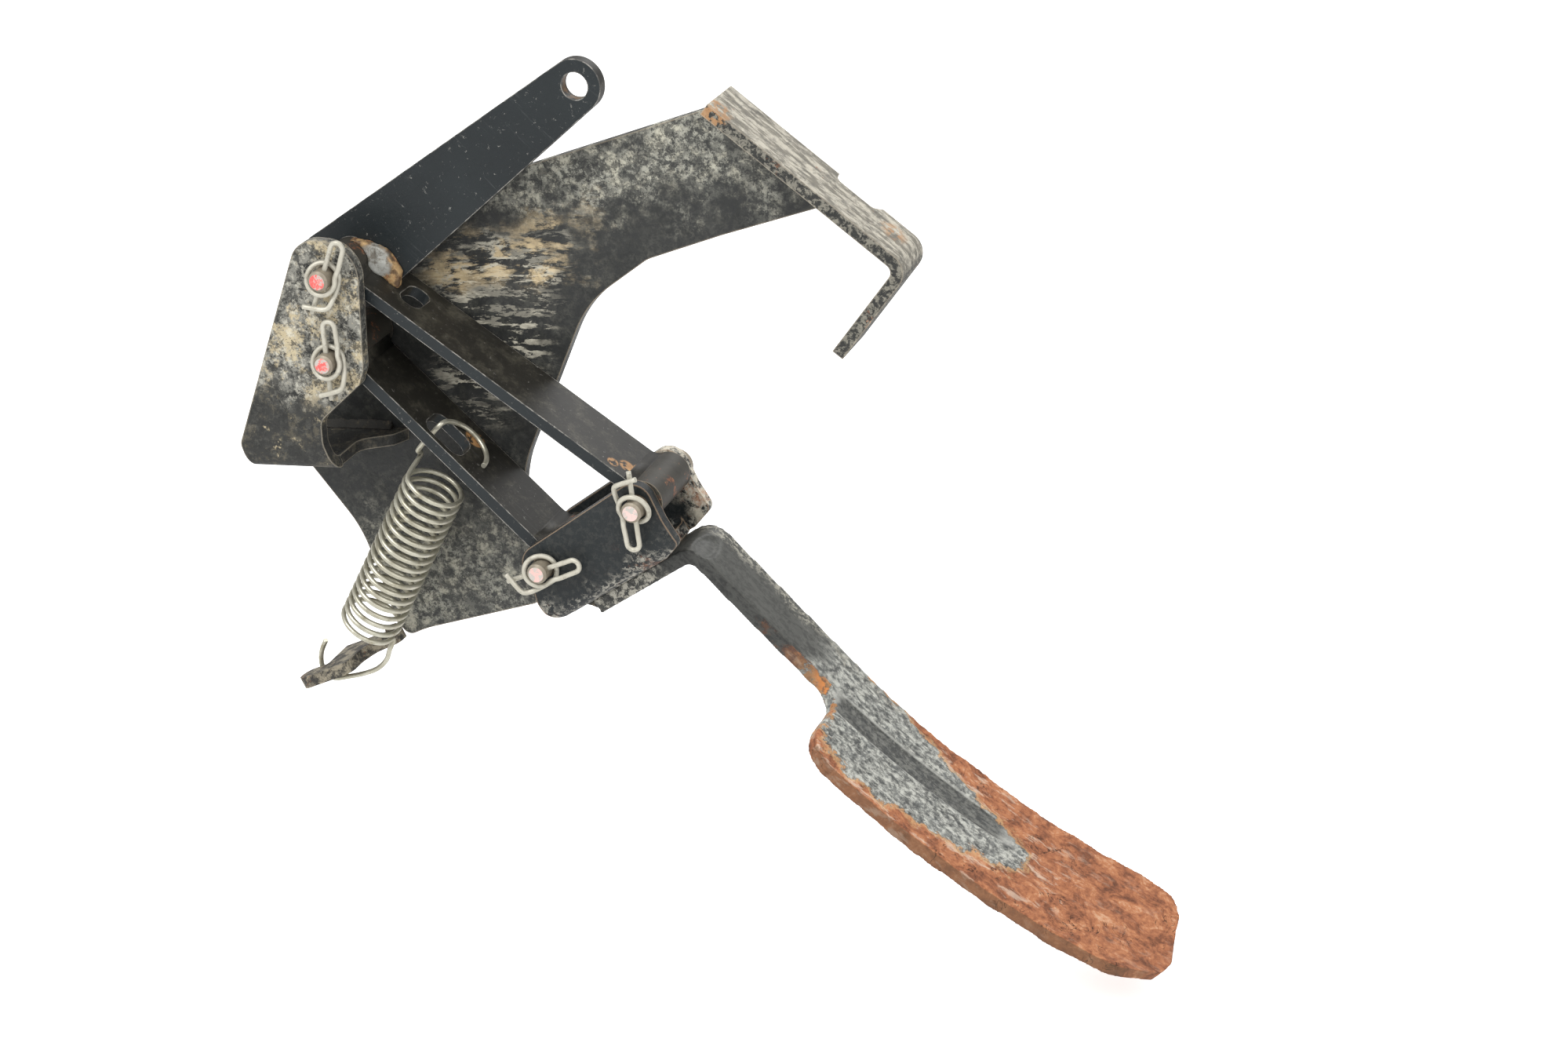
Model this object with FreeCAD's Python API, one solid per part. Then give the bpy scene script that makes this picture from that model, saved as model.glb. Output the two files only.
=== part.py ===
import FreeCAD, Part
import math
import os

os.makedirs("parts", exist_ok=True)
V = FreeCAD.Vector

# Sizes in mm. X runs right and Z up along the upright plate, Y runs back, away from the driver's side.
# The origin is on the plate's back face, midway between the two fixed pivots.
sheet = 6.0
pivot_half_spacing = 21.0
upper_pedal_x = 155.5
upper_pedal_z = -75.5
lower_pedal_x = 106.6
lower_pedal_z = -114.2
ear_front = -54.0
side_play = 0.5

pin_r = 5.0
pin_front = -64.0
pin_chamfer = 1.2
pin_head_r = 8.0
pin_head_t = 3.0
running_fit = 0.06
open_pivot_fit = 0.5
tube_r = 10.0
tube_gap = 0.05

link_width = 36.0
link_front = -46.0
link_sheet = 6.0

lever_front = -25.0
lever_sheet = 6.0
throttle_hole_x = 117.1
throttle_hole_z = 116.1
throttle_hole_r = 6.5
lever_tip_r = 12.8

coupler_back = -3.0
arm_front = -43.0
arm_width = 32.0
arm_sheet = 8.0
pad_width = 83.0

clip_wire_r = 1.25
clip_y = -58.5

spring_wire_r = 1.3
spring_mean_r = 14.4
spring_turns = 17
wire_sides = 6


def place_xz(y):
    return lambda a, b: V(a, y, b)


def corner_face(corners, place):
    # A flat face from corners given as (a, b, radius), each rounded where it has a radius.
    count = len(corners)
    tangents = []
    for i in range(count):
        a0, b0 = corners[i - 1][0], corners[i - 1][1]
        a1, b1, radius = corners[i]
        a2, b2 = corners[(i + 1) % count][0], corners[(i + 1) % count][1]
        back = math.hypot(a0 - a1, b0 - b1)
        ahead = math.hypot(a2 - a1, b2 - b1)
        ua, ub = (a0 - a1) / back, (b0 - b1) / back
        va, vb = (a2 - a1) / ahead, (b2 - b1) / ahead
        if radius <= 0:
            tangents.append(((a1, b1), None, (a1, b1)))
            continue
        half = math.acos(max(-1.0, min(1.0, ua * va + ub * vb))) / 2
        reach = radius / math.tan(half)
        ba, bb = ua + va, ub + vb
        length = math.hypot(ba, bb)
        depth = radius / math.sin(half) - radius
        middle = (a1 + ba / length * depth, b1 + bb / length * depth)
        start = (a1 + ua * reach, b1 + ub * reach)
        end = (a1 + va * reach, b1 + vb * reach)
        tangents.append((start, middle, end))
    edges = []
    for i in range(count):
        start, middle, end = tangents[i]
        if middle:
            edges.append(Part.Arc(place(*start), place(*middle), place(*end)).toShape())
        following = tangents[(i + 1) % count][0]
        if math.hypot(following[0] - end[0], following[1] - end[1]) > 1e-6:
            edges.append(Part.LineSegment(place(*end), place(*following)).toShape())
    return Part.Face(Part.Wire(edges))


def prism(corners, front, back):
    return corner_face(corners, place_xz(front)).extrude(V(0, back - front, 0))


def rod(x, z, radius, front, back):
    return Part.makeCylinder(radius, back - front, V(x, front, z), V(0, 1, 0))


def parallel(path, distance):
    # The same bent line again, distance to the right of its running direction, with bend radii to suit.
    lines = []
    for (xa, za, ra), (xb, zb, rb) in zip(path, path[1:]):
        length = math.hypot(xb - xa, zb - za)
        dx, dz = (xb - xa) / length, (zb - za) / length
        lines.append((xa + dz * distance, za - dx * distance, dx, dz, length))
    moved = [(lines[0][0], lines[0][1], 0)]
    for i in range(1, len(lines)):
        xa, za, dx, dz, length = lines[i - 1]
        xb, zb, ex, ez, other = lines[i]
        cross = dx * ez - dz * ex
        along = ((xb - xa) * ez - (zb - za) * ex) / cross
        radius = path[i][2] + (distance if cross > 0 else -distance)
        moved.append((xa + dx * along, za + dz * along, radius))
    xa, za, dx, dz, length = lines[-1]
    moved.append((xa + dx * length, za + dz * length, 0))
    return moved


def bent_strip(path, thickness, front, back):
    return prism(path + parallel(path, thickness)[::-1], front, back)


def wire_solid(points, radius, sides):
    # Round wire along a line of points, as a closed skin of flat facets.
    count = len(points)
    runs = []
    for i in range(count):
        runs.append((points[min(i + 1, count - 1)] - points[max(i - 1, 0)]).normalize())
    side = runs[0].cross(V(0, 1, 0.1)).normalize()
    corners = []
    for i in range(count):
        side = (side - runs[i] * side.dot(runs[i])).normalize()
        other = runs[i].cross(side)
        for k in range(sides):
            turn = 2 * math.pi * k / sides
            corners.append(points[i] + side * (radius * math.cos(turn)) + other * (radius * math.sin(turn)))
    facets = []
    for i in range(count - 1):
        for k in range(sides):
            a = i * sides + k
            b = i * sides + (k + 1) % sides
            facets.append((a, b, b + sides))
            facets.append((a, b + sides, a + sides))
    for k in range(1, sides - 1):
        facets.append((0, k + 1, k))
        last = (count - 1) * sides
        facets.append((last, last + k, last + k + 1))
    skin = Part.Shape()
    skin.makeShapeFromMesh((corners, facets), 0.001)
    solid = Part.makeSolid(skin)
    if solid.Volume < 0:
        solid.reverse()
    return solid


def save(shape, name):
    if shape.ShapeType == "Compound" and len(shape.Solids) == 1:
        shape = shape.Solids[0]
    shape.exportStep("parts/" + name + ".step")


upper_pivot = (0.0, pivot_half_spacing)
lower_pivot = (0.0, -pivot_half_spacing)
upper_pedal = (upper_pedal_x, upper_pedal_z)
lower_pedal = (lower_pedal_x, lower_pedal_z)

# Upright bracket plate: straight top edge, long arm to the right, hollowed right edge, broad foot
plate_corners = [
    (-17.5, 28.2, 9),
    (183.22, 109.08, 0),
    (240.72, 68.82, 0),
    (225.7, 62.7, 0),
    (181.2, 45.4, 30),
    (144.0, 29.5, 16),
    (112.6, 4.0, 60),
    (79.0, -80.0, 60),
    (76.2, -96.0, 40),
    (84.6, -157.5, 7),
    (20.0, -182.0, 60),
    (10.0, -187.6, 5),
    (3.2, -181.0, 6),
    (-6.5, -151.0, 60),
    (-13.5, -131.0, 60),
    (-48.0, -90.0, 8),
    (-48.0, -60.0, 30),
]
bracket_plate = prism(plate_corners, -sheet, 0)
for x, z in (upper_pivot, lower_pivot):
    bracket_plate = bracket_plate.cut(rod(x, z, pin_r + running_fit, -sheet - 1, 1))

# Front ear folded back to the plate by a shelf under the pivots
fold_x = -46.0
fold_z = -84.8
fold_angle = math.radians(5.4)
fold_outer_r = 10.0
fold_axis = V(math.cos(fold_angle), 0, math.sin(fold_angle))
fold_up = V(-math.sin(fold_angle), 0, math.cos(fold_angle))


def place_fold(y, up):
    return V(fold_x, y, fold_z) + fold_axis * -20 + fold_up * up


fold_section = [
    (ear_front, 140, 0),
    (ear_front, 0, fold_outer_r),
    (-sheet, 0, 0),
    (-sheet, sheet, 0),
    (ear_front + sheet, sheet, fold_outer_r - sheet),
    (ear_front + sheet, 140, 0),
]
fold = corner_face(fold_section, place_fold).extrude(fold_axis * 110)
ear_corners = [
    (-14.7, 37.8, 14),
    (16.6, 37.8, 17),
    (16.6, -24.5, 6),
    (14.0, -32.5, 4),
    (-7.6, -54.0, 8),
    (-7.4, -66.0, 12),
    (-2.4, -78.0, 0),
    (-2.0, -100.0, 0),
    (-44.0, -100.0, 0),
    (-48.6, -82.0, 5),
    (-52.2, -71.5, 6),
]
ear_outline = prism(ear_corners, ear_front - 2, ear_front + fold_outer_r)
shelf_corners = [
    (-47.0, ear_front + fold_outer_r, 0),
    (-3.4, ear_front + fold_outer_r, 0),
    (-3.6, -23.0, 8),
    (11.5, -14.5, 4),
    (15.5, -sheet, 0),
    (-47.0, -sheet, 0),
]
shelf_outline = corner_face(shelf_corners, lambda a, b: V(a, b, -110)).extrude(V(0, 0, 60))
pivot_ear = fold.common(ear_outline.fuse(shelf_outline))
for x, z in (upper_pivot, lower_pivot):
    pivot_ear = pivot_ear.cut(rod(x, z, pin_r + running_fit, ear_front - 1, ear_front + sheet + 1))
pivot_ear = pivot_ear.removeSplitter()

# Weld beads lie in an inner corner as a quarter round along a line
bead_leg = 4.0


def corner_bead(start, along, side_a, side_b, length, leg):
    wire = Part.makePolygon([start, start + side_a * leg, start + side_b * leg, start])
    return Part.Face(wire).extrude(along * length)


ear_bead_start = V(fold_x, -sheet, fold_z) + fold_up * sheet + fold_axis * 4
ear_weld = corner_bead(ear_bead_start, fold_axis, V(0, -1, 0), fold_up, 50, bead_leg)

# Bent flange bar, welded across the end of the plate's arm, with a shallow notch in its back edge
flange_width = 32.0
flange_outer_r = 10.0
flange_corner_x = 280.8
flange_corner_z = 48.1
flange_angle = math.radians(-35.0)
leg_angle = math.radians(55.6)
flange_length = 118.0
leg_length = 56.5
flange_start_x = flange_corner_x - flange_length * math.cos(flange_angle)
flange_start_z = flange_corner_z - flange_length * math.sin(flange_angle)
leg_end_x = flange_corner_x - leg_length * math.cos(leg_angle)
leg_end_z = flange_corner_z - leg_length * math.sin(leg_angle)
flange_path = [
    (flange_start_x, flange_start_z, 0),
    (flange_corner_x, flange_corner_z, flange_outer_r),
    (leg_end_x, leg_end_z, 0),
]
flange_bar = bent_strip(flange_path, sheet, -flange_width, 0)
flange_along = V(math.cos(flange_angle), 0, math.sin(flange_angle))
flange_out = V(-math.sin(flange_angle), 0, math.cos(flange_angle))
flange_start = V(flange_start_x, 0, flange_start_z)


def place_flange(a, y):
    return flange_start + flange_along * a + V(0, y, 0) + flange_out * -30


notch_start = 64.0
notch_length = 22.0
notch_depth = 6.0
notch_corners = [
    (notch_start - 3, 4, 0),
    (notch_start + notch_length + 9, 4, 0),
    (notch_start + notch_length + 4, 0, 0),
    (notch_start + notch_length, -notch_depth, 4),
    (notch_start + 1, -notch_depth, 3),
    (notch_start, 0, 0),
]
flange_bar = flange_bar.cut(corner_face(notch_corners, place_flange).extrude(flange_out * 60))
flange_bead_start = flange_start + flange_along * 3 + V(0, -sheet, 0) - flange_out * sheet
flange_weld = corner_bead(flange_bead_start, flange_along, V(0, -1, 0), flange_out * -1, 66, 5.0)

# Flat spring anchor: comes forward from the plate's lower corner, with a finger across its front
anchor_angle = math.radians(27.0)
anchor_along = V(math.cos(anchor_angle), 0, math.sin(anchor_angle))
anchor_up = V(-math.sin(anchor_angle), 0, math.cos(anchor_angle))
anchor_start = V(-7.2, 0, -196.4)
anchor_width = 18.0
anchor_front = -39.0
finger_width = 11.0
finger_reach = 32.0
anchor_corners = [
    (17.5, -sheet, 0),
    (17.5, -sheet - 8, 5),
    (4, -sheet - 11, 8),
    (0, -sheet - 20, 8),
    (0, anchor_front, 5),
    (-finger_reach, anchor_front, 5.3),
    (-finger_reach, anchor_front + finger_width, 5.3),
    (-anchor_width, anchor_front + finger_width, 1.5),
    (-anchor_width, -sheet, 0),
]
anchor_face = corner_face(anchor_corners, lambda a, y: anchor_start + anchor_along * a + V(0, y, 0))
spring_anchor = anchor_face.extrude(anchor_up * sheet)
anchor_bead_start = anchor_start + anchor_along * 8.5 + V(0, -sheet, 0) + anchor_up * sheet
anchor_weld = corner_bead(anchor_bead_start, anchor_along, V(0, -1, 0), anchor_up, 7.5, 3.0)


# Pivot pins: fixed ones end flush in the plate, pedal ones have a head behind the channel
def pin(x, z, back, head):
    body = rod(x, z, pin_r, pin_front, back)
    body = body.makeChamfer(pin_chamfer, [e for e in body.Edges if abs(e.BoundBox.YMax - pin_front) < 1e-6])
    if head:
        body = body.fuse(rod(x, z, pin_head_r, back, back + pin_head_t)).removeSplitter()
    return body


def clip_hole(x, z, angle):
    along = V(math.cos(angle), 0, math.sin(angle))
    return Part.makeCylinder(clip_wire_r + 0.15, 30, V(x, clip_y, z) - along * 15, along)


clip_angles = {"upper_pivot": 71.0, "lower_pivot": 93.6, "upper_pedal": -82.5, "lower_pedal": 25.6}
pin_places = {
    "upper_pivot": (upper_pivot, 0.0, False),
    "lower_pivot": (lower_pivot, 0.0, False),
    "upper_pedal": (upper_pedal, coupler_back, True),
    "lower_pedal": (lower_pedal, coupler_back, True),
}
# Wire clip: straight leg through the pin, bow, ring once round the pin, tail kicked over the leg
clip_ring_r = 7.7
clip_bow_r = 3.1
clip_leg = 21.0
clip_reach = 17.5
clip_points = [(-clip_leg, 0, 0), (-14, 0, 0), (-7, 0, 0), (0, 0, 0), (7, 0, 0), (14, 0, 0), (clip_reach, 0, 0)]
for degrees in (-60, -30, 0, 30, 60):
    turn = math.radians(degrees)
    clip_points.append((clip_reach + clip_bow_r * math.cos(turn), clip_bow_r + clip_bow_r * math.sin(turn), 0))
clip_points.append((clip_reach, 2 * clip_bow_r, 0))
clip_points.append((13, 6.3, 0))
clip_points.append((8.6, 6.5, -0.2))
ring_lift = {60: -0.6, 90: -1.3, 120: -2.0, 150: -2.6, 180: -2.8, 210: -2.4, 240: -1.6, 270: -0.4,
             300: 1.0, 330: 2.2, 360: 2.8, 390: 2.9, 420: 2.6, 450: 2.0}
for degrees, lift in ring_lift.items():
    turn = math.radians(degrees)
    reach = clip_ring_r + (0.3 if degrees > 400 else 0)
    clip_points.append((reach * math.cos(turn), reach * math.sin(turn), lift))
clip_points += [(-5, 8.2, 0.6), (-10, 7.6, -1.2), (-14.5, 4.5, -2.6), (-18, 0.4, -3.0), (-21, -3.6, -3.0)]

for name, ((x, z), back, head) in pin_places.items():
    angle = math.radians(clip_angles[name])
    save(pin(x, z, back, head).cut(clip_hole(x, z, angle)), name + "_pin")
    ca, sa = math.cos(angle), math.sin(angle)
    points = [V(x + a * ca - b * sa, clip_y + lift, z + a * sa + b * ca) for a, b, lift in clip_points]
    clip = wire_solid(points, clip_wire_r, wire_sides)
    save(clip, name + "_clip")


# Link bars with a tube welded across each end
def link(a, b, slots):
    length = math.hypot(b[0] - a[0], b[1] - a[1])
    along = ((b[0] - a[0]) / length, (b[1] - a[1]) / length)
    up = (-along[1], along[0])

    def at(s, n):
        return (a[0] + along[0] * s + up[0] * n, a[1] + along[1] * s + up[1] * n, 0)
    half = link_sheet / 2
    bar = prism([at(0, half), at(length, half), at(length, -half), at(0, -half)], link_front, link_front + link_width)
    for x, z in (a, b):
        bar = bar.cut(rod(x, z, tube_r + tube_gap, link_front - 1, link_front + link_width + 1))
    for start, end, near, far, radius in slots:
        place = lambda s, y: V(at(s, -10)[0], y, at(s, -10)[1])
        corners = [(start, near, radius), (end, near, radius), (end, far, radius), (start, far, radius)]
        bar = bar.cut(corner_face(corners, place).extrude(V(up[0], 0, up[1]) * 20))
    return bar, at


def tube(x, z, front, back, fit):
    return rod(x, z, tube_r, front, back).cut(rod(x, z, pin_r + fit, front - 1, back + 1))


upper_slot = (30.0, 42.0, -35.0, -17.0, 5.0)
lower_slot = (52.0, 76.0, -43.0, -25.0, 6.0)
upper_link_bar, on_upper = link(upper_pivot, upper_pedal, [upper_slot])
lower_link_bar, on_lower = link(lower_pivot, lower_pedal, [lower_slot])
tube_front = ear_front + sheet + side_play
fixed_tube_back = -sheet - side_play
pedal_tube_back = coupler_back - sheet - side_play
upper_pivot_tube = tube(*upper_pivot, tube_front, fixed_tube_back, running_fit)
lower_pivot_tube = tube(*lower_pivot, tube_front, fixed_tube_back, running_fit)
upper_pedal_tube = tube(*upper_pedal, tube_front, pedal_tube_back, running_fit)
lower_pedal_tube = tube(*lower_pedal, tube_front, pedal_tube_back, open_pivot_fit)

# Throttle lever: tapered plate welded round the upper pivot tube, with a round eye at its tip
lever_back = lever_front + lever_sheet
upper_edge_angle = math.radians(36.6)
lower_edge_angle = math.radians(43.0)
upper_edge = (-math.sin(upper_edge_angle), math.cos(upper_edge_angle))
lower_edge = (math.sin(lower_edge_angle), -math.cos(lower_edge_angle))
tip_upper = (throttle_hole_x + upper_edge[0] * lever_tip_r, throttle_hole_z + upper_edge[1] * lever_tip_r)
tip_lower = (throttle_hole_x + lower_edge[0] * lever_tip_r, throttle_hole_z + lower_edge[1] * lever_tip_r)
foot_upper = (tip_upper[0] - 182.0 * math.cos(upper_edge_angle), tip_upper[1] - 182.0 * math.sin(upper_edge_angle))
foot_lower = (tip_lower[0] - 137.5 * math.cos(lower_edge_angle), tip_lower[1] - 137.5 * math.sin(lower_edge_angle))
lever_corners = [
    (foot_upper[0], foot_upper[1], 12),
    (tip_upper[0], tip_upper[1], 0),
    (tip_lower[0], tip_lower[1], 0),
    (foot_lower[0], foot_lower[1], 0),
    (6.5, 13.4, 0),
    (0.0, 6.5, 3),
    (-12.0, 4.0, 8),
]
throttle_lever = prism(lever_corners, lever_front, lever_back)
throttle_lever = throttle_lever.fuse(rod(throttle_hole_x, throttle_hole_z, lever_tip_r, lever_front, lever_back))
throttle_lever = throttle_lever.removeSplitter()
throttle_lever = throttle_lever.cut(rod(throttle_hole_x, throttle_hole_z, throttle_hole_r, lever_front - 1, lever_back + 1))
throttle_lever = throttle_lever.cut(rod(*upper_pivot, tube_r + tube_gap, lever_front - 1, lever_back + 1))
throttle_lever = throttle_lever.cut(upper_link_bar)
lever_weld_corners = [
    (-3.0, 31.8, 2),
    (9.0, 30.5, 3),
    (19.0, 28.0, 4),
    (26.5, 17.0, 3),
    (24.5, 5.0, 0),
    (8.0, 12.0, 0),
]
lever_weld = prism(lever_weld_corners, lever_front - 5, lever_front)
lever_weld = lever_weld.cut(rod(*upper_pivot, tube_r + tube_gap, lever_front - 9, lever_front + 1))
lever_weld = lever_weld.cut(upper_link_bar)
below_bar = [on_upper(0, 0), on_upper(60, 0), on_upper(60, -30), on_upper(0, -30)]
lever_weld = lever_weld.cut(prism(below_bar, lever_front - 9, lever_front + 1))

# Pedal coupler: a channel with two ears, joining both links to the pedal arm
coupler_angle = math.radians(36.2)
coupler_along = V(math.cos(coupler_angle), 0, math.sin(coupler_angle))
coupler_up = V(-math.sin(coupler_angle), 0, math.cos(coupler_angle))
web_outer = -27.7
coupler_fold_r = 9.0
lower_pedal_at = V(lower_pedal_x, 0, lower_pedal_z)
channel_section = [
    (ear_front, 30, 0),
    (ear_front, web_outer, coupler_fold_r),
    (coupler_back, web_outer, coupler_fold_r),
    (coupler_back, 30, 0),
    (coupler_back - sheet, 30, 0),
    (coupler_back - sheet, web_outer + sheet, coupler_fold_r - sheet),
    (ear_front + sheet, web_outer + sheet, coupler_fold_r - sheet),
    (ear_front + sheet, 30, 0),
]
channel_face = corner_face(channel_section, lambda y, n: lower_pedal_at + coupler_along * -25 + V(0, y, 0) + coupler_up * n)
channel = channel_face.extrude(coupler_along * 115)
coupler_corners = [
    (-10.8, 11.0, 10.6),
    (72.6, 14.3, 9.6),
    (68.4, -10.0, 30),
    (68.0, -23.6, 4),
    (52.0, -28.2, 0),
    (-15.2, -28.2, 10.5),
    (-15.2, -14.0, 8),
    (-10.8, -3.0, 10),
]
coupler_outline = corner_face(coupler_corners, lambda s, n: lower_pedal_at + coupler_along * s + V(0, -60, 0) + coupler_up * n)
coupler_channel = channel.common(coupler_outline.extrude(V(0, 70, 0)))
inner_front = ear_front + sheet
inner_back = coupler_back - sheet


def between_ears(start, end):
    corners = [(start, -30, 0), (end, -30, 0), (end, web_outer + coupler_fold_r, 0), (start, web_outer + coupler_fold_r, 0)]
    face = corner_face(corners, lambda s, n: lower_pedal_at + coupler_along * s + V(0, inner_front, 0) + coupler_up * n)
    return face.extrude(V(0, inner_back - inner_front, 0))


coupler_channel = coupler_channel.cut(between_ears(-40, -5)).cut(between_ears(52, 90))
for x, z in (upper_pedal, lower_pedal):
    coupler_channel = coupler_channel.cut(rod(x, z, pin_r + running_fit, ear_front - 1, 1))

# Pedal arm and foot pad: one bar, bent once, spread and curved at the pad
arm_back = arm_front + arm_width
arm_start = 4.4
arm_bend_r = 12.6
arm_angle = math.radians(-42.6)
arm_offset = 49.8
pad_curve_r = 520.0
pad_turn = math.radians(17.6)
pad_curve_start = 283.0
pad_shoulder = 298.0
pad_end = 491.5
arm_along = V(math.cos(arm_angle), 0, math.sin(arm_angle))
arm_out = V(-math.sin(arm_angle), 0, math.cos(arm_angle))
first = lower_pedal_at + coupler_along * arm_start + coupler_up * web_outer
cross = coupler_along.x * arm_along.z - coupler_along.z * arm_along.x
on_arm = arm_out * arm_offset
to_bend = ((on_arm.x - first.x) * arm_along.z - (on_arm.z - first.z) * arm_along.x) / cross
bend = first + coupler_along * to_bend
pad_corner = arm_along * (pad_curve_start + pad_curve_r * math.tan(pad_turn / 2)) + on_arm
pad_direction = V(math.cos(arm_angle + pad_turn), 0, math.sin(arm_angle + pad_turn))
pad_tip = pad_corner + pad_direction * 150
arm_path = [
    (first.x, first.z, 0),
    (bend.x, bend.z, arm_bend_r),
    (pad_corner.x, pad_corner.z, pad_curve_r),
    (pad_tip.x, pad_tip.z, 0),
]
pedal_arm = bent_strip(arm_path, arm_sheet, arm_back - pad_width, arm_back)
pad_front = arm_back - pad_width
plan_corners = [
    (100, arm_back, 0),
    (100, arm_front, 0),
    (pad_shoulder, arm_front, 12),
    (pad_shoulder, pad_front, 17),
    (pad_end, pad_front, 15),
    (pad_end, arm_back, 19),
]
plan = corner_face(plan_corners, lambda s, y: arm_along * s + V(0, y, 0) + arm_out * -220).extrude(arm_out * 440)
pedal_arm = pedal_arm.common(plan)
arm_bead_start = first + V(0, arm_front + 1, 0)
arm_weld = corner_bead(arm_bead_start, V(0, 1, 0), coupler_along * -1, coupler_up * -1, arm_width - 2, 5.0)

# Return spring: open coils, lower hook round the anchor, last half turn laid on the lower link
spring_foot = V(-0.2, -30.0, -171.9)
spring_top = V(42.9, -35.0, -86.8)
spring_axis = (spring_top - spring_foot).normalize()
spring_side = V(0, 1, 0).cross(spring_axis).normalize()
spring_back = spring_axis.cross(spring_side).normalize()
steps = 12
coil_points = int((spring_turns + 0.5) * steps)
hook_low = [
    V(-27.6, -25.2, -187.3),
    V(-30.4, -25.4, -194.0),
    V(-30.8, -25.6, -200.5),
    V(-28.6, -25.8, -206.0),
    V(-23.5, -25.8, -208.0),
    V(-17.0, -25.8, -206.3),
    V(-8.0, -25.9, -203.2),
    V(1.0, -26.6, -198.5),
    V(7.5, -28.5, -191.5),
    V(11.0, -31.5, -184.0),
]
coil = []
for i in range(coil_points):
    turn = 2 * math.pi * i / steps
    rise = (spring_top - spring_foot) * (i / coil_points)
    coil.append(spring_foot + rise + spring_side * (spring_mean_r * math.cos(turn)) - spring_back * (spring_mean_r * math.sin(turn)))
top_face = link_sheet / 2 + spring_wire_r + 0.15


def over_lower(s, y, n):
    x, z, unused = on_lower(s, n)
    return V(x, y, z)


hook_top = [over_lower(60.5, -28.0, -20.5), over_lower(58.4, -32.5, -17.0), over_lower(58.0, -34.0, -10.0)]
hook_top += [over_lower(57.9, -34.0, -3.0), over_lower(57.9, -33.4, 2.6)]
for degrees in range(165, -1, -15):
    turn = math.radians(degrees)
    hook_top.append(over_lower(72.3 + spring_mean_r * math.cos(turn), -34.5 + spring_mean_r * math.sin(turn), top_face))
return_spring = wire_solid(hook_low + coil + hook_top, spring_wire_r, wire_sides)

for name, shape in {
    "bracket_plate": bracket_plate,
    "pivot_ear": pivot_ear,
    "ear_weld": ear_weld,
    "flange_bar": flange_bar,
    "flange_weld": flange_weld,
    "spring_anchor": spring_anchor,
    "anchor_weld": anchor_weld,
    "upper_link_bar": upper_link_bar,
    "upper_pivot_tube": upper_pivot_tube,
    "upper_pedal_tube": upper_pedal_tube,
    "throttle_lever": throttle_lever,
    "lever_weld": lever_weld,
    "lower_link_bar": lower_link_bar,
    "lower_pivot_tube": lower_pivot_tube,
    "lower_pedal_tube": lower_pedal_tube,
    "coupler_channel": coupler_channel,
    "pedal_arm": pedal_arm,
    "arm_weld": arm_weld,
    "return_spring": return_spring,
}.items():
    save(shape, name)
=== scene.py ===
import math
import bpy
import bmesh
from mathutils import Matrix, Vector, noise


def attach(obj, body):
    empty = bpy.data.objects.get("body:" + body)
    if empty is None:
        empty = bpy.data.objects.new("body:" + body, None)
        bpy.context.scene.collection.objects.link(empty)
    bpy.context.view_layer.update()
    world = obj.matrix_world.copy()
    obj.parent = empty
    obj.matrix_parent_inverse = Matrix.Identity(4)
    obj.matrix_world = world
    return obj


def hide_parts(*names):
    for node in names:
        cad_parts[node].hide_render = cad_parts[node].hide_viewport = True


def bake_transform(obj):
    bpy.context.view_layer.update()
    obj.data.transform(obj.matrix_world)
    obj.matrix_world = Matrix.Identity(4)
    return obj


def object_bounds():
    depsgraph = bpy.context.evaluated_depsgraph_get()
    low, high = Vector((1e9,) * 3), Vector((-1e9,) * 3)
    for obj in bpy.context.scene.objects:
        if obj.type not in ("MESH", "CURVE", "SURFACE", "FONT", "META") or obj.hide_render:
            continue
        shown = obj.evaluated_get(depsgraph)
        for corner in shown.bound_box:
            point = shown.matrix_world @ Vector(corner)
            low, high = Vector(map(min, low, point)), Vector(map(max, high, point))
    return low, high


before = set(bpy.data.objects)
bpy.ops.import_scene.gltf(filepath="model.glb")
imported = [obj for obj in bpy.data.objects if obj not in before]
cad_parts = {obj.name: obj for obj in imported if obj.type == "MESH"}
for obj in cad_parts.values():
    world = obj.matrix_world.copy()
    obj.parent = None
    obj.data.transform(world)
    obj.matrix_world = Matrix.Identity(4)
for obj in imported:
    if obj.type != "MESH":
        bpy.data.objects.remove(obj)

start_box = [list(corner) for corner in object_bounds()]

# Bracket plate: the flat steel plate, 6 mm thick, that carries every other piece. Charcoal paint,
# with grey dirt crusted along its arm and on its foot, tan and white streaks in the middle, worn tan
# edges. The shader groups that it is the first to need work in metres, in the part's own space.


def put(tree, kind, inputs=None, **settings):
    node = tree.nodes.new("ShaderNode" + kind)
    for key, value in settings.items():
        setattr(node, key, value)
    for key, value in (inputs or {}).items():
        socket = node.inputs[key]
        if isinstance(value, bpy.types.NodeSocket):
            tree.links.new(value, socket)
        else:
            socket.default_value = value
    return node


def maths(tree, operation, a, b=0.0, clamp=False):
    return put(tree, "Math", {0: a, 1: b}, operation=operation, use_clamp=clamp).outputs[0]


def times(tree, a, b):
    return maths(tree, "MULTIPLY", a, b)


def ramp(tree, value, low, high, out_low=0.0, out_high=1.0):
    inputs = {"Value": value, "From Min": low, "From Max": high, "To Min": out_low, "To Max": out_high}
    return put(tree, "MapRange", inputs, interpolation_type="SMOOTHSTEP").outputs[0]


def over(tree, mask, below, above):
    return put(tree, "Mix", {0: mask, 6: below, 7: above}, data_type="RGBA").outputs[2]


def cloud(tree, where, scale, detail=6.0, rough=0.6, warp=0.0):
    inputs = {"Vector": where, "Scale": scale, "Detail": detail, "Roughness": rough, "Distortion": warp}
    return put(tree, "TexNoise", inputs).outputs["Fac"]


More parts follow.
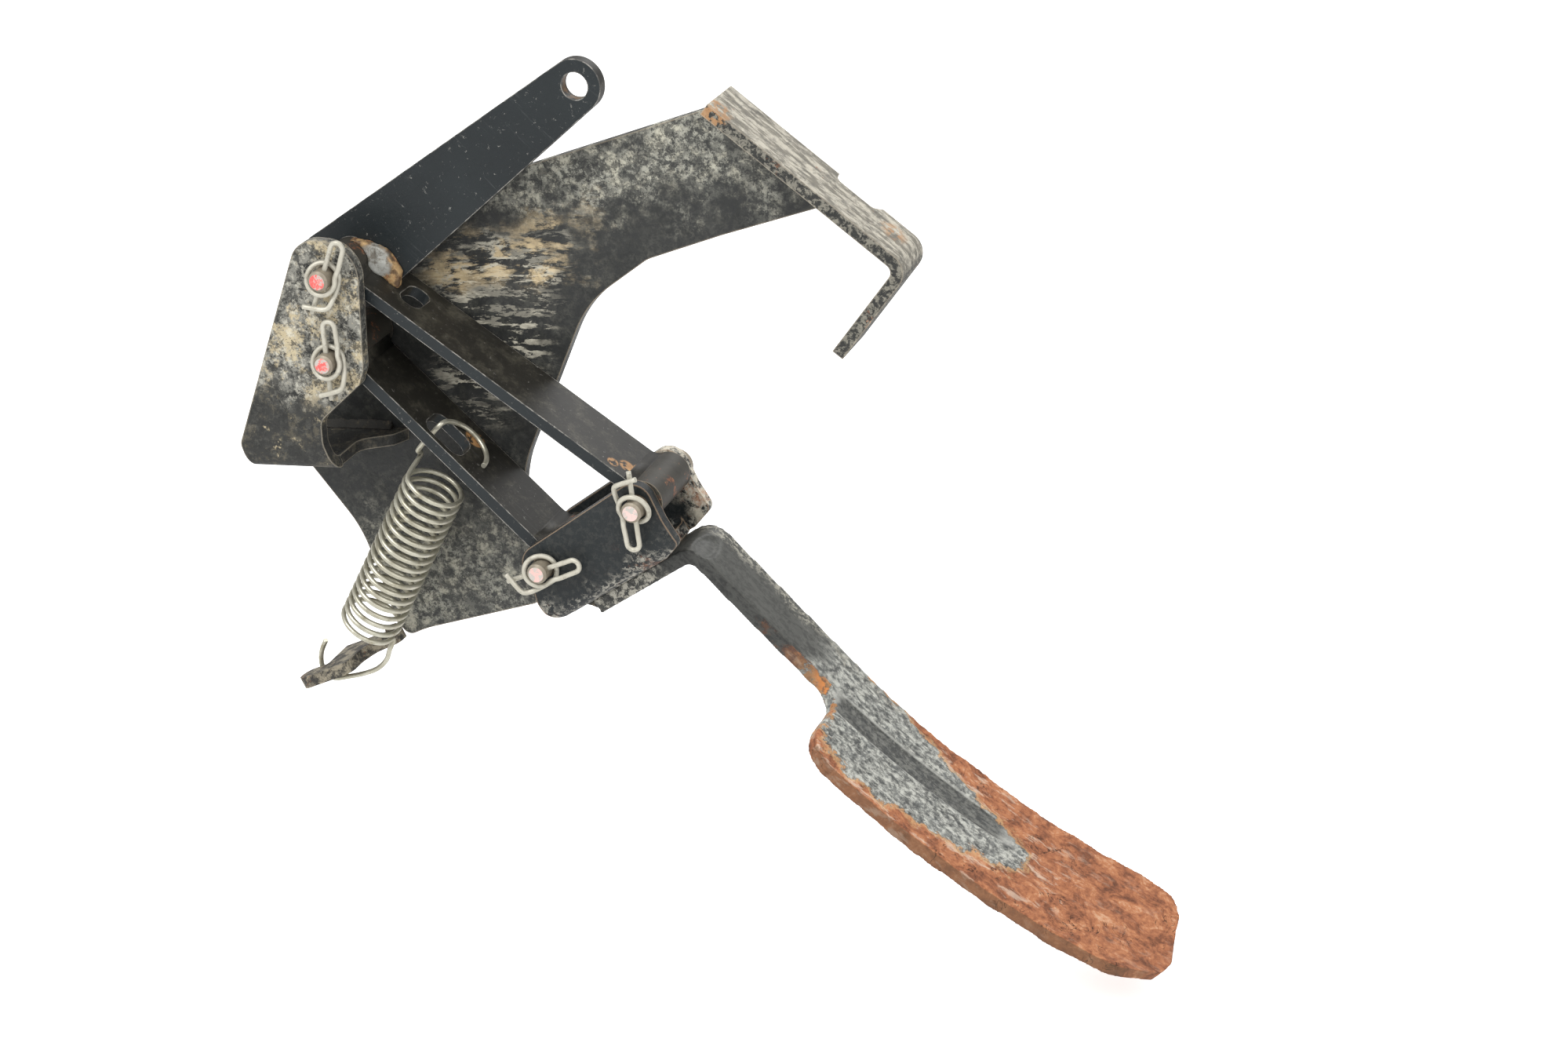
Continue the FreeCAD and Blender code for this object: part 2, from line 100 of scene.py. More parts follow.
def group(name, inputs, outputs):
    tree = bpy.data.node_groups.new(name, "ShaderNodeTree")
    for label, kind, value in inputs:
        socket = tree.interface.new_socket(label, in_out="INPUT", socket_type="NodeSocket" + kind)
        if value is not None:
            socket.default_value = value
    for label, kind in outputs:
        tree.interface.new_socket(label, in_out="OUTPUT", socket_type="NodeSocket" + kind)
    return tree, tree.nodes.new("NodeGroupInput").outputs, tree.nodes.new("NodeGroupOutput").inputs


# Patches: an irregular cover of dust or wear. Cover is the share of the surface that it takes.
patches, given, out = group(
    "Patches",
    [("Vector", "Vector", None), ("Scale", "Float", 60.0), ("Cover", "Float", 0.4),
     ("Softness", "Float", 0.06)],
    [("Mask", "Float")],
)
broad = cloud(patches, given["Vector"], given["Scale"], 5.0, 0.62, 0.4)
fine = cloud(patches, given["Vector"], times(patches, given["Scale"], 7.0), 4.0, 0.7)
both = maths(patches, "ADD", times(patches, broad, 0.68), times(patches, fine, 0.32))
level = maths(patches, "SUBTRACT", 0.68, times(patches, given["Cover"], 0.36))
mask = ramp(
    patches, both,
    maths(patches, "SUBTRACT", level, given["Softness"]),
    maths(patches, "ADD", level, given["Softness"]),
)
patches.links.new(mask, out["Mask"])

# Bare edges: worn paint along edges, broken up, and the softened normal of those edges.
edges, given, out = group(
    "Bare edges",
    [("Vector", "Vector", None), ("Radius", "Float", 0.0012), ("Amount", "Float", 1.0)],
    [("Mask", "Float"), ("Normal", "Vector")],
)
soft = put(edges, "Bevel", {"Radius": given["Radius"]}, samples=6).outputs["Normal"]
flat = put(edges, "NewGeometry").outputs["Normal"]
facing = put(edges, "VectorMath", {0: soft, 1: flat}, operation="DOT_PRODUCT").outputs["Value"]
turned = times(edges, maths(edges, "SUBTRACT", 1.0, facing), 9.0)
ragged = times(edges, cloud(edges, given["Vector"], 260.0, 5.0, 0.7), 1.7)
worn = times(edges, times(edges, turned, ragged), given["Amount"])
edges.links.new(ramp(edges, worn, 0.25, 0.6), out["Mask"])
small = put(edges, "Bevel", {"Radius": times(edges, given["Radius"], 0.5)}, samples=4).outputs["Normal"]
edges.links.new(small, out["Normal"])

# Side: a ragged step across a plane, 0 behind it and 1 in front of it.
side, given, out = group(
    "Side",
    [("Vector", "Vector", None), ("Point", "Vector", None), ("Direction", "Vector", None),
     ("Width", "Float", 0.004), ("Wobble", "Float", 0.01)],
    [("Mask", "Float")],
)
away = put(side, "VectorMath", {0: given["Vector"], 1: given["Point"]}, operation="SUBTRACT").outputs[0]
reach = put(side, "VectorMath", {0: away, 1: given["Direction"]}, operation="DOT_PRODUCT").outputs["Value"]
swing = maths(side, "SUBTRACT", cloud(side, given["Vector"], 70.0, 6.0, 0.65), 0.5)
reach = maths(side, "ADD", reach, times(side, swing, times(side, given["Wobble"], 2.0)))
half = given["Width"]
side.links.new(ramp(side, reach, times(side, half, -1.0), half), out["Mask"])

# Streaks: fine scratches drawn out along one direction in the upright plane.
streaks, given, out = group(
    "Streaks",
    [("Vector", "Vector", None), ("Turn", "Float", 0.0), ("Scale", "Float", 300.0), ("Cover", "Float", 0.3),
     ("Stretch", "Float", 0.06), ("Softness", "Float", 0.04)],
    [("Mask", "Float")],
)
around = {"Vector": given["Vector"], "Axis": (0.0, 1.0, 0.0), "Angle": given["Turn"]}
turned = put(streaks, "VectorRotate", around).outputs[0]
narrowing = put(streaks, "CombineXYZ", {0: given["Stretch"], 1: 1.0, 2: 1.0}).outputs[0]
drawn = put(streaks, "VectorMath", {0: turned, 1: narrowing}, operation="MULTIPLY").outputs[0]
lines = cloud(streaks, drawn, given["Scale"], 8.0, 0.72, 0.3)
level = maths(streaks, "SUBTRACT", 0.72, times(streaks, given["Cover"], 0.4))
low = maths(streaks, "SUBTRACT", level, given["Softness"])
high = maths(streaks, "ADD", level, given["Softness"])
streaks.links.new(ramp(streaks, lines, low, high), out["Mask"])


def call(tree, kind, **inputs):
    node = put(tree, "Group", None, node_tree=kind)
    for key, value in inputs.items():
        socket = node.inputs[key]
        if isinstance(value, bpy.types.NodeSocket):
            tree.links.new(value, socket)
        else:
            socket.default_value = value
    return node.outputs


def distance_to(tree, where, point):
    return put(tree, "VectorMath", {0: where, 1: point}, operation="DISTANCE").outputs["Value"]


def facing_back(tree):
    # 1 where the surface faces the plate's back, -1 where it faces the front.
    return put(tree, "SeparateXYZ", {0: put(tree, "NewGeometry").outputs["Normal"]}).outputs["Y"]


def new_material(name):
    material = bpy.data.materials.new(name)
    material.use_nodes = True
    tree = material.node_tree
    where = put(tree, "TexCoord").outputs["Object"]
    return material, tree, where, tree.nodes["Principled BSDF"]


def finish_material(tree, shader, colour, rough, metal, height, normal, strength=0.4, distance=0.0006):
    tree.links.new(colour, shader.inputs["Base Color"])
    for value, label in ((rough, "Roughness"), (metal, "Metallic")):
        if isinstance(value, bpy.types.NodeSocket):
            tree.links.new(value, shader.inputs[label])
        else:
            shader.inputs[label].default_value = value
    bump = {"Height": height, "Strength": strength, "Distance": distance}
    if normal is not None:
        bump["Normal"] = normal
    tree.links.new(put(tree, "Bump", bump).outputs[0], shader.inputs["Normal"])
    shader.inputs["Specular IOR Level"].default_value = 0.3


def dress(node, material):
    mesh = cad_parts[node].data
    mesh.materials.clear()
    mesh.materials.append(material)
    for face in mesh.polygons:
        face.material_index = 0


plate_paint, tree, where, shader = new_material("plate paint")
edge = call(tree, edges, Vector=where, Radius=0.0013, Amount=0.8)
colour = over(tree, cloud(tree, where, 45.0, 5.0), (0.007, 0.008, 0.008, 1), (0.021, 0.022, 0.021, 1))
haze = call(tree, patches, Vector=where, Scale=40.0, Cover=0.4, Softness=0.14)["Mask"]
colour = over(tree, times(tree, haze, 0.35), colour, (0.085, 0.085, 0.078, 1))
under_top = call(
    tree, side, Vector=where, Point=(0.103, 0, 0.055), Direction=(-0.167, 0, 0.986), Width=0.016, Wobble=0.035
)["Mask"]
right_of = call(
    tree, side, Vector=where, Point=(0.062, 0, 0), Direction=(1, 0, 0), Width=0.02, Wobble=0.03
)["Mask"]
arm_zone = times(tree, under_top, right_of)
foot_zone = call(
    tree, side, Vector=where, Point=(0.03, 0, -0.120), Direction=(0.35, 0, -0.937), Width=0.03, Wobble=0.03
)["Mask"]
zones = maths(tree, "MAXIMUM", arm_zone, times(tree, foot_zone, 0.7))
zones = maths(tree, "ADD", times(tree, zones, 0.9), 0.05)
powder = call(tree, patches, Vector=where, Scale=420.0, Cover=0.52, Softness=0.04)["Mask"]
broad = call(tree, patches, Vector=where, Scale=55.0, Cover=0.44, Softness=0.09)["Mask"]
powder = times(tree, powder, ramp(tree, broad, 0.0, 1.0, 0.3, 1.0))
colour = over(tree, times(tree, zones, 0.22), colour, (0.17, 0.17, 0.15, 1))
colour = over(tree, times(tree, powder, times(tree, zones, 0.85)), colour, (0.38, 0.375, 0.315, 1))
blotch = call(tree, patches, Vector=where, Scale=130.0, Cover=0.34, Softness=0.07)["Mask"]
blotch = times(tree, times(tree, blotch, zones), 0.85)
colour = over(tree, blotch, colour, (0.47, 0.45, 0.36, 1))
gap = call(tree, patches, Vector=where, Scale=170.0, Cover=0.44, Softness=0.03)["Mask"]
colour = over(tree, times(tree, gap, 0.7), colour, (0.020, 0.021, 0.021, 1))
middle = call(
    tree, side, Vector=where, Point=(0.030, 0, 0.02), Direction=(1, 0, 0.1), Width=0.012, Wobble=0.012
)["Mask"]
low = call(
    tree, side, Vector=where, Point=(0.06, 0, 0.030), Direction=(0.3, 0, -0.95), Width=0.012, Wobble=0.02
)["Mask"]
high = call(
    tree, side, Vector=where, Point=(0.06, 0, -0.058), Direction=(0, 0, 1), Width=0.014, Wobble=0.02
)["Mask"]
left = call(
    tree, side, Vector=where, Point=(0.092, 0, 0), Direction=(-1, 0, 0.35), Width=0.016, Wobble=0.03
)["Mask"]
middle = times(tree, times(tree, middle, low), times(tree, high, left))
front = facing_back(tree)
front = ramp(tree, front, 0.2, -0.4)
middle = times(tree, middle, front)
streak = call(
    tree, streaks, Vector=where, Turn=0.14, Scale=270.0, Cover=0.48, Stretch=0.26, Softness=0.015
)["Mask"]
wide = call(
    tree, streaks, Vector=where, Turn=0.14, Scale=95.0, Cover=0.5, Stretch=0.3, Softness=0.08
)["Mask"]
streak = times(tree, streak, ramp(tree, wide, 0.0, 1.0, 0.35, 1.0))
colour = over(tree, times(tree, times(tree, streak, middle), 0.95), colour, (0.50, 0.47, 0.38, 1))
tan_band = call(
    tree, side, Vector=where, Point=(0.06, 0, 0.008), Direction=(-0.12, 0, 0.99), Width=0.006, Wobble=0.014
)["Mask"]
tan = call(
    tree, streaks, Vector=where, Turn=0.14, Scale=120.0, Cover=0.52, Stretch=0.4, Softness=0.05
)["Mask"]
tan = times(tree, tan, times(tree, tan_band, middle))
colour = over(tree, times(tree, tan, 0.92), colour, (0.52, 0.41, 0.245, 1))
crust = times(tree, powder, zones)
colour = over(tree, times(tree, edge["Mask"], 0.75), colour, (0.36, 0.30, 0.22, 1))
relief = maths(tree, "ADD", cloud(tree, where, 420.0, 4.0), crust)
finish_material(tree, shader, colour, ramp(tree, haze, 0.0, 1.0, 0.45, 0.7), 0.0, relief, edge["Normal"], 0.3)
dress("bracket_plate", plate_paint)

# Pivot ear: steel strip folded back to the plate by its shelf and welded there, which holds the
# front ends of both pivot pins. Black paint under grey, beige and tan dust on its upper two thirds.
ear_paint, tree, where, shader = new_material("dusty ear")
edge = call(tree, edges, Vector=where, Radius=0.0013, Amount=1.1)
colour = over(tree, cloud(tree, where, 60.0, 5.0), (0.010, 0.011, 0.011, 1), (0.034, 0.034, 0.031, 1))
upper = call(
    tree, side, Vector=where, Point=(-0.02, 0, -0.042), Direction=(0.25, 0, 0.968), Width=0.016, Wobble=0.02
)["Mask"]
front = facing_back(tree)
upper = times(tree, upper, ramp(tree, front, -0.2, -0.7, 0.45, 1.0))
grey = call(tree, patches, Vector=where, Scale=130.0, Cover=0.58, Softness=0.06)["Mask"]
colour = over(tree, times(tree, grey, ramp(tree, upper, 0.0, 1.0, 0.04, 0.9)), colour, (0.235, 0.23, 0.20, 1))
tan = call(tree, patches, Vector=where, Scale=62.0, Cover=0.40, Softness=0.035)["Mask"]
colour = over(tree, times(tree, tan, ramp(tree, upper, 0.0, 1.0, 0.10, 0.85)), colour, (0.50, 0.42, 0.27, 1))
pale = call(tree, patches, Vector=where, Scale=300.0, Cover=0.40, Softness=0.04)["Mask"]
colour = over(tree, times(tree, pale, ramp(tree, upper, 0.0, 1.0, 0.05, 0.6)), colour, (0.55, 0.53, 0.45, 1))
pits = call(tree, patches, Vector=where, Scale=110.0, Cover=0.36, Softness=0.035)["Mask"]
colour = over(tree, times(tree, pits, 0.8), colour, (0.030, 0.030, 0.028, 1))
specks = call(tree, patches, Vector=where, Scale=260.0, Cover=0.34, Softness=0.03)["Mask"]
colour = over(tree, times(tree, specks, 0.7), colour, (0.026, 0.026, 0.024, 1))
flecks = call(tree, patches, Vector=where, Scale=100.0, Cover=0.16, Softness=0.03)["Mask"]
colour = over(tree, times(tree, flecks, ramp(tree, upper, 0.0, 1.0, 0.7, 0.8)), colour, (0.50, 0.42, 0.27, 1))
colour = over(tree, times(tree, edge["Mask"], 0.7), colour, (0.36, 0.32, 0.25, 1))
finish_material(tree, shader, colour, 0.72, 0.0, maths(tree, "ADD", grey, pale), edge["Normal"], 0.45)
dress("pivot_ear", ear_paint)

# Flange bar: bent steel bar welded across the end of the plate's arm. Its broad outer face is worn
# to pale grey-beige streaks, the rest is mottled black, and its ends and its bend are rusty.
# Rust: brown to orange flakes, with a height for the bump.
rust, given, out = group(
    "Rust",
    [("Vector", "Vector", None), ("Scale", "Float", 90.0)],
    [("Color", "Color"), ("Height", "Float")],
)
body = cloud(rust, given["Vector"], given["Scale"], 8.0, 0.68, 0.8)
crust = cloud(rust, given["Vector"], times(rust, given["Scale"], 4.5), 5.0, 0.7, 0.3)
shade = maths(rust, "ADD", times(rust, body, 0.65), times(rust, crust, 0.35))
colours = put(rust, "ValToRGB", {"Fac": shade})
stops = colours.color_ramp.elements
stops[0].position, stops[0].color = 0.32, (0.06, 0.024, 0.013, 1)
stops[1].position, stops[1].color = 0.70, (0.58, 0.38, 0.25, 1)
for place, colour in (
    (0.43, (0.17, 0.062, 0.030, 1)), (0.50, (0.29, 0.108, 0.050, 1)), (0.57, (0.40, 0.165, 0.075, 1)),
):
    stops.new(place).color = colour
rust.links.new(colours.outputs["Color"], out["Color"])
rust.links.new(shade, out["Height"])

flange_paint, tree, where, shader = new_material("flange paint")
edge = call(tree, edges, Vector=where, Radius=0.0013, Amount=1.1)
colour = over(tree, cloud(tree, where, 60.0, 5.0), (0.012, 0.013, 0.013, 1), (0.04, 0.04, 0.036, 1))
mottle = call(tree, patches, Vector=where, Scale=430.0, Cover=0.46, Softness=0.035)["Mask"]
colour = over(tree, times(tree, mottle, 0.7), colour, (0.26, 0.245, 0.20, 1))
facing = put(tree, "VectorMath", {0: put(tree, "NewGeometry").outputs["Normal"], 1: (0.5736, 0.0, 0.8192)},
             operation="DOT_PRODUCT").outputs["Value"]
broad_face = ramp(tree, facing, 0.35, 0.8)
streak = call(
    tree, streaks, Vector=where, Turn=math.radians(-35), Scale=300.0, Cover=0.55, Stretch=0.22, Softness=0.05
)["Mask"]
worn = call(tree, patches, Vector=where, Scale=60.0, Cover=0.85, Softness=0.12)["Mask"]
pale = over(tree, streak, (0.20, 0.185, 0.15, 1), (0.52, 0.485, 0.405, 1))
grain = call(tree, patches, Vector=where, Scale=230.0, Cover=0.40, Softness=0.07)["Mask"]
pale = over(tree, times(tree, grain, 0.6), pale, (0.12, 0.115, 0.10, 1))
colour = over(tree, times(tree, times(tree, worn, broad_face), 0.93), colour, pale)
spots = call(tree, patches, Vector=where, Scale=80.0, Cover=0.10, Softness=0.04)["Mask"]
flakes = call(tree, rust, Vector=where, Scale=200.0)
colour = over(tree, spots, colour, flakes["Color"])
for point, reach in (
    ((0.187, -0.030, 0.114), 0.011), ((0.262, -0.012, 0.052), 0.012), ((0.231, -0.032, 0.012), 0.006),
):
    gap = distance_to(tree, where, point)
    broken = ramp(tree, cloud(tree, where, 260.0, 5.0), 0.46, 0.54)
    rusty = times(tree, ramp(tree, gap, reach, reach * 0.6), broken)
    colour = over(tree, times(tree, rusty, 0.8), colour, (0.40, 0.22, 0.10, 1))
colour = over(tree, times(tree, edge["Mask"], 0.6), colour, (0.42, 0.37, 0.29, 1))
finish_material(tree, shader, colour, 0.65, 0.0, maths(tree, "ADD", mottle, grain), edge["Normal"], 0.4)
dress("flange_bar", flange_paint)

# Link bars and throttle lever: flat steel, the lever welded on at the upper pivot. Blue-black paint
# on the narrow sides and the lever, brown-black on the broad faces, broken bare lines along the
# edges, and rust in the lever's eye, by the lower bar's slot and by the upper pedal tube.
link_paint, tree, where, shader = new_material("link paint")
edge = call(tree, edges, Vector=where, Radius=0.0010, Amount=0.85)
turn = facing_back(tree)
narrow = ramp(tree, maths(tree, "ABSOLUTE", turn), 0.6, 0.8)
broad_colour = over(tree, cloud(tree, where, 55.0, 6.0), (0.006, 0.0055, 0.0045, 1), (0.026, 0.024, 0.019, 1))
dirt = call(tree, patches, Vector=where, Scale=90.0, Cover=0.28, Softness=0.1)["Mask"]
broad_colour = over(tree, times(tree, dirt, 0.35), broad_colour, (0.13, 0.12, 0.09, 1))
narrow_colour = over(tree, cloud(tree, where, 30.0, 4.0), (0.006, 0.008, 0.009, 1), (0.016, 0.021, 0.023, 1))
colour = over(tree, narrow, broad_colour, narrow_colour)
scratch = call(tree, streaks, Vector=where, Turn=math.radians(-40), Scale=420.0, Cover=0.2)["Mask"]
colour = over(tree, times(tree, scratch, 0.07), colour, (0.28, 0.29, 0.29, 1))
specks = call(tree, patches, Vector=where, Scale=420.0, Cover=0.12, Softness=0.03)["Mask"]
colour = over(tree, times(tree, specks, 0.5), colour, (0.34, 0.33, 0.30, 1))
orange = over(tree, cloud(tree, where, 330.0, 4.0), (0.14, 0.065, 0.028, 1), (0.52, 0.29, 0.115, 1))
for point, reach in (
    ((0.1171, -0.022, 0.1161), 0.0072), ((0.0575, -0.0200, -0.0680), 0.0062),
    ((0.1385, -0.0400, -0.0600), 0.0036), ((0.1436, -0.0355, -0.0634), 0.0046),
    ((0.1484, -0.0310, -0.0664), 0.0040),
):
    gap = distance_to(tree, where, point)
    ring = ramp(tree, gap, reach, reach * 0.75)
    ring = times(tree, ring, ramp(tree, cloud(tree, where, 240.0, 4.0), 0.42, 0.5))
    colour = over(tree, ring, colour, orange)
bare = times(tree, edge["Mask"], ramp(tree, cloud(tree, where, 210.0, 4.0), 0.42, 0.56, 0.25, 1.0))
colour = over(tree, times(tree, bare, 0.9), colour, (0.42, 0.40, 0.36, 1))
metal = times(tree, edge["Mask"], 0.4)
rough = ramp(tree, narrow, 0.0, 1.0, 0.5, 0.45)
finish_material(tree, shader, colour, rough, metal, cloud(tree, where, 380.0, 4.0), edge["Normal"], 0.14)
for node in ("upper_link_bar", "lower_link_bar", "throttle_lever"):
    dress(node, link_paint)

# Link tubes: short steel tubes across the ends of the bars, which turn on the pins. The same paint,
# scuffed, with a little rust.
tube_paint, tree, where, shader = new_material("tube paint")
edge = call(tree, edges, Vector=where, Radius=0.001, Amount=0.9)
colour = over(tree, cloud(tree, where, 80.0, 6.0), (0.010, 0.0095, 0.008, 1), (0.066, 0.060, 0.048, 1))
flakes = call(tree, rust, Vector=where, Scale=200.0)
rusted = call(tree, patches, Vector=where, Scale=110.0, Cover=0.2, Softness=0.06)["Mask"]
colour = over(tree, times(tree, rusted, 0.8), colour, flakes["Color"])
colour = over(tree, times(tree, edge["Mask"], 0.6), colour, (0.30, 0.25, 0.18, 1))
finish_material(tree, shader, colour, 0.55, 0.0, cloud(tree, where, 300.0, 4.0), edge["Normal"], 0.2)
for node in ("upper_pivot_tube", "upper_pedal_tube", "lower_pivot_tube", "lower_pedal_tube"):
    dress(node, tube_paint)

# Coupler channel: folded steel channel that holds both links between its ears, with the arm welded
# below it. Smooth blue-black paint, white-grey dirt near the arm and on the rear ear's end, the
# rear ear's end made paler still as painted light, and thin tan lines along the edges.
channel_paint, tree, where, shader = new_material("channel paint")
edge = call(tree, edges, Vector=where, Radius=0.0014, Amount=1.0)
colour = over(tree, cloud(tree, where, 50.0, 5.0), (0.005, 0.007, 0.008, 1), (0.016, 0.020, 0.021, 1))
down = call(
    tree, side, Vector=where, Point=(0.137, 0, -0.119), Direction=(0.62, 0, -0.78), Width=0.010, Wobble=0.022
)["Mask"]
far = call(
    tree, side, Vector=where, Point=(0.1575, 0, -0.0830), Direction=(0.807, 0, 0.59), Width=0.008,
    Wobble=0.018
)["Mask"]
behind = call(
    tree, side, Vector=where, Point=(0, -0.028, 0), Direction=(0, 1, 0), Width=0.008, Wobble=0.01
)["Mask"]
far = times(tree, far, behind)
dirty = maths(tree, "MAXIMUM", down, far)
crust = call(tree, patches, Vector=where, Scale=420.0, Cover=0.44, Softness=0.035)["Mask"]
spread = times(tree, crust, ramp(tree, dirty, 0.0, 1.0, 0.03, 0.8))
colour = over(tree, spread, colour, (0.42, 0.40, 0.34, 1))
# Paler caked dirt on the rear ear's end: partly real dirt, partly painted light that brightens it.
pale_cake_and_painted_light = call(tree, patches, Vector=where, Scale=190.0, Cover=0.5, Softness=0.06)["Mask"]
colour = over(tree, times(tree, times(tree, pale_cake_and_painted_light, far), 0.8), colour, (0.62, 0.57, 0.46, 1))
flakes = call(tree, rust, Vector=where, Scale=220.0)
rusted = call(tree, patches, Vector=where, Scale=65.0, Cover=0.22, Softness=0.06)["Mask"]
rusted = times(tree, rusted, ramp(tree, dirty, 0.0, 1.0, 0.04, 0.75))
colour = over(tree, rusted, colour, flakes["Color"])
edge_colour = over(tree, cloud(tree, where, 120.0, 3.0), (0.36, 0.30, 0.22, 1), (0.30, 0.17, 0.09, 1))
colour = over(tree, times(tree, edge["Mask"], 0.75), colour, edge_colour)
relief = maths(tree, "ADD", crust, flakes["Height"])
finish_material(tree, shader, colour, 0.5, 0.0, relief, edge["Normal"], 0.25)
dress("coupler_channel", channel_paint)

# Pivot pins: round steel, 10 mm across, each held by a wire clip through its front end. Dull, with a
# chipped dot of paint on the front.
for node, dot in (
    ("upper_pivot_pin", (0.80, 0.12, 0.11, 1)),
    ("lower_pivot_pin", (0.80, 0.12, 0.11, 1)),
    ("upper_pedal_pin", (0.70, 0.50, 0.46, 1)),
    ("lower_pedal_pin", (0.74, 0.45, 0.41, 1)),
):
    steel, tree, where, shader = new_material(node + " steel")
    edge = call(tree, edges, Vector=where, Radius=0.0008, Amount=0.8)
    colour = over(tree, cloud(tree, where, 200.0, 5.0), (0.09, 0.075, 0.055, 1), (0.40, 0.35, 0.27, 1))
    end = facing_back(tree)
    front = ramp(tree, end, -0.7, -0.9)
    colour = over(tree, front, colour, (0.46, 0.44, 0.40, 1))
    worn = call(tree, patches, Vector=where, Scale=200.0, Cover=0.5, Softness=0.04)["Mask"]
    colour = over(tree, times(tree, front, worn), colour, dot)
    colour = over(tree, times(tree, edge["Mask"], 0.6), colour, (0.45, 0.42, 0.36, 1))
    finish_material(tree, shader, colour, 0.5, 0.3, cloud(tree, where, 500.0, 4.0), edge["Normal"], 0.3)
    dress(node, steel)

# Weld beads and spring anchor: lumpy steel beads. The lever's is grey in the middle with a rusty tan
# ring, and the others are painted over and dusty, as is the bent steel finger that the spring hooks
# round. The ear's bead lies in the shade and gets a darker copy of the dusty paint, as painted shade.
weld_look, tree, where, shader = new_material("lever weld")
flakes = call(tree, rust, Vector=where, Scale=260.0)
colour = over(tree, cloud(tree, where, 120.0, 5.0), (0.03, 0.028, 0.024, 1), (0.30, 0.27, 0.22, 1))
ring = distance_to(tree, where, (0.0135, -0.029, 0.0215))
ring = maths(tree, "ADD", ring, times(tree, cloud(tree, where, 160.0, 4.0), 0.006))
rim = ramp(tree, ring, 0.0100, 0.0125)
burnt = ramp(tree, cloud(tree, where, 260.0, 5.0), 0.40, 0.60)
tan = over(tree, burnt, (0.10, 0.055, 0.026, 1), (0.42, 0.27, 0.12, 1))
colour = over(tree, times(tree, rim, 0.85), colour, tan)
rusted = call(tree, patches, Vector=where, Scale=190.0, Cover=0.30, Softness=0.06)["Mask"]
colour = over(tree, times(tree, times(tree, rusted, rim), 0.7), colour, flakes["Color"])
pale = call(tree, patches, Vector=where, Scale=180.0, Cover=0.62, Softness=0.08)["Mask"]
middle = ramp(tree, ring, 0.0120, 0.0095)
colour = over(tree, times(tree, pale, middle), colour, (0.36, 0.36, 0.33, 1))
finish_material(tree, shader, colour, 0.6, 0.1, flakes["Height"], None, 0.4)

dusty_paint, tree, where, shader = new_material("dusty paint")
colour = over(tree, cloud(tree, where, 90.0, 5.0), (0.012, 0.012, 0.011, 1), (0.055, 0.05, 0.042, 1))
dust = call(tree, patches, Vector=where, Scale=170.0, Cover=0.45, Softness=0.08)["Mask"]
colour = over(tree, times(tree, dust, 0.7), colour, (0.33, 0.29, 0.21, 1))
rusted = call(tree, patches, Vector=where, Scale=90.0, Cover=0.2, Softness=0.06)["Mask"]
flakes = call(tree, rust, Vector=where, Scale=220.0)
colour = over(tree, times(tree, rusted, 0.8), colour, flakes["Color"])
finish_material(tree, shader, colour, 0.62, 0.0, flakes["Height"], None, 0.4)
dress("spring_anchor", dusty_paint)

# A darker copy of the dusty paint with less dust, for the ear's bead: painted shade.
ear_bead_painted_shade, tree, where, shader = new_material("ear bead painted shade")
colour = over(tree, cloud(tree, where, 90.0, 5.0), (0.010, 0.010, 0.009, 1), (0.035, 0.032, 0.026, 1))
dust = call(tree, patches, Vector=where, Scale=150.0, Cover=0.25, Softness=0.08)["Mask"]
colour = over(tree, times(tree, dust, 0.4), colour, (0.16, 0.13, 0.08, 1))
finish_material(tree, shader, colour, 0.7, 0.0, dust, None, 0.3)


def remeshed(node, voxel, rounds):
    # A finer copy of a CAD node, as a plain mesh in the part's own space.
    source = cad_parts[node]
    piece = bpy.data.objects.new(node + "_skin", source.data.copy())
    bpy.context.scene.collection.objects.link(piece)
    fine = piece.modifiers.new("fine", "REMESH")
    fine.mode = "VOXEL"
    fine.voxel_size = voxel
    ease = piece.modifiers.new("ease", "SMOOTH")
    ease.iterations = rounds
    graph = bpy.context.evaluated_depsgraph_get()
    mesh = bpy.data.meshes.new_from_object(piece.evaluated_get(graph))
    piece.modifiers.clear()
    piece.data = mesh
    mesh.materials.clear()
    for face in mesh.polygons:
        face.use_smooth = True
    return piece


for node, body, rounds, material in (
    ("ear_weld", "bracket", 5, ear_bead_painted_shade),
    ("flange_weld", "bracket", 5, dusty_paint),
    ("anchor_weld", "bracket", 5, dusty_paint),
    ("lever_weld", "upper_link", 14, weld_look),
    ("arm_weld", "pedal", 5, dusty_paint),
):
    bead = remeshed(node, 0.0005, rounds)
    spots = [vertex.co.copy() for vertex in bead.data.vertices]
    outward = [vertex.normal.copy() for vertex in bead.data.vertices]
    for vertex, spot, out_of in zip(bead.data.vertices, spots, outward):
        lump = noise.noise(spot * 220.0) * 0.0006 + noise.noise(spot * 900.0) * 0.00015
        vertex.co = spot + out_of * (lump + 0.0001)
    bead.data.materials.append(material)
    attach(bead, body)
    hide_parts(node)

# Pedal arm and pad: one steel bar, bent, curved and widened, and welded under the channel. Dark
# paint survives along the arm and down the middle of the pad, with flaky orange rust round it. The
# outline of the paint is drawn along the arm (first number) and across it (second), in mm.
paint_outline = [
    (100, 0), (285, -3), (300, -13), (326, -13), (349, -22), (363, -28), (387, -36), (403, -41),
    (411, -50), (413, -60), (409, -69), (395, -72), (379, -75), (361, -82), (340, -87), (323, -88),
    (310, -83), (298, -75),
    (300, -62), (298, -51), (288, -41), (274, -42), (262, -43.5), (240, -44), (228, -46),
    (210, -52), (160, -60), (100, -60),
]
arm_slope = math.radians(-42.6)
arm_along = Vector((math.cos(arm_slope), 0, math.sin(arm_slope)))
arm_out = Vector((-arm_along.z, 0, arm_along.x))
groove_start, groove_end, groove_middle, groove_half = 290, 412, -47.5, 7.5
groove_drop, dimple_drop = 0.0013, 0.0018
dimple_s, dimple_y, dimple_long, dimple_wide = 203, -33, 6.5, 13.0
trim_start, trim_run = 440, 51.5
